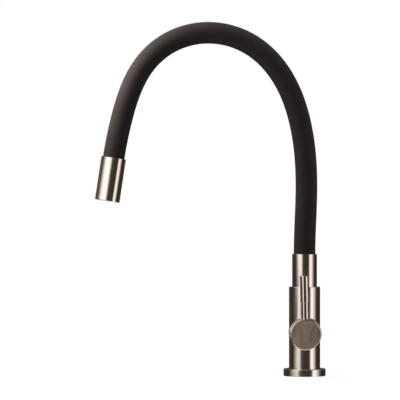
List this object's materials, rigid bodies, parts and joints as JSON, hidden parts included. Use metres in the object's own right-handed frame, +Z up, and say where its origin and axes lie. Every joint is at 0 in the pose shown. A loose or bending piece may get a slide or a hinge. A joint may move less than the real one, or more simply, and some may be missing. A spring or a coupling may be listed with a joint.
{
  "type": "single-lever mixer tap",
  "caption": "Single-lever kitchen mixer tap: brushed steel pillar body with a pin lever on a side barrel, and a black bendable hose spout that arches over to a steel head with an aerator.",
  "frame": {"origin": "centre of the flat underside of the tap, on the worktop", "axes": "+Z up, along the body's axis; -X is the way the spout reaches at rest; -Y is the side that the lever barrel stands out of, towards the user"},
  "size_m": [0.2738, 0.0921, 0.4198],
  "materials": {
    "brushed_steel": "warm brushed stainless steel, brushed round the tubes",
    "black_silicone": "smooth matt black silicone",
    "stainless_wire": "plain stainless steel of screws, clamps and the gooseneck",
    "brass": "turned brass",
    "white_plastic": "white acetal",
    "ceramic": "lapped ceramic",
    "seal_rubber": "black seal rubber"
  },
  "bodies": {
    "root": {"base_flange": "brushed_steel", "base_seal": "seal_rubber", "body_shell": "brushed_steel", "valve_body": "brass", "holder_gasket": "seal_rubber", "cartridge_holder": "brass", "lever_barrel": "brushed_steel", "cartridge_base": "white_plastic", "hot_port_seal": "seal_rubber", "cold_port_seal": "seal_rubber", "outlet_port_seal": "seal_rubber", "fixed_disc": "ceramic", "cartridge_housing": "white_plastic", "cartridge_nut": "brass", "cartridge_dome": "brushed_steel", "swivel_washer": "white_plastic", "swivel_bush": "white_plastic", "spout_set_screw": "stainless_wire"},
    "cartridge": {"cartridge_rotor": "white_plastic", "pivot_pin": "stainless_wire"},
    "discs": {"moving_disc": "ceramic", "disc_carrier": "white_plastic"},
    "lever": {"lever_spindle": "brass", "lever_hub": "brushed_steel", "lever_rod": "brushed_steel", "lever_grip": "brushed_steel", "hub_set_screw": "stainless_wire", "hub_screw_cap": "white_plastic"},
    "spout": {"spout_nipple": "brass", "lower_o_ring": "seal_rubber", "upper_o_ring": "seal_rubber", "spout_collar": "brushed_steel", "hose_sleeve": "black_silicone", "hose_gooseneck": "stainless_wire", "water_tube": "white_plastic", "spout_tube_clamp": "stainless_wire"},
    "outlet": {"outlet_head": "brushed_steel", "outlet_nipple": "brass", "outlet_tube_clamp": "stainless_wire", "aerator_seal": "seal_rubber", "aerator_housing": "brushed_steel", "aerator_insert": "white_plastic"}
  },
  "joints": [
    {"name": "spout_swivel", "type": "hinge", "parent": "root", "child": "spout", "pos_m": [0, 0, 0.0875], "axis": [0, 0, 1], "continuous": true},
    {"name": "hose_flex", "type": "hinge", "parent": "spout", "child": "outlet", "pos_m": [-0.08791, 0, 0.31708], "axis": [0, 1, 0], "range_deg": [-15, 15], "deforming": ["hose_sleeve", "hose_gooseneck", "water_tube"]},
    {"name": "lever_temperature", "type": "hinge", "parent": "root", "child": "cartridge", "pos_m": [0, -0.03825, 0.052], "axis": [0, -1, 0], "range_deg": [-46.4, 43.6]},
    {"name": "lever_flow", "type": "hinge", "parent": "cartridge", "child": "lever", "pos_m": [0, -0.03825, 0.052], "axis": [0.9997, 0, 0.0244], "range_deg": [0, 22]},
    {"name": "disc_slide", "type": "slide", "parent": "cartridge", "child": "discs", "axis": [-0.0244, 0, 0.9997], "range_m": [0, 0.00225]}
  ],
  "couplings": [
    {"joint": "disc_slide", "follows": "lever_flow", "m_per_rad": 0.00585}
  ]
}
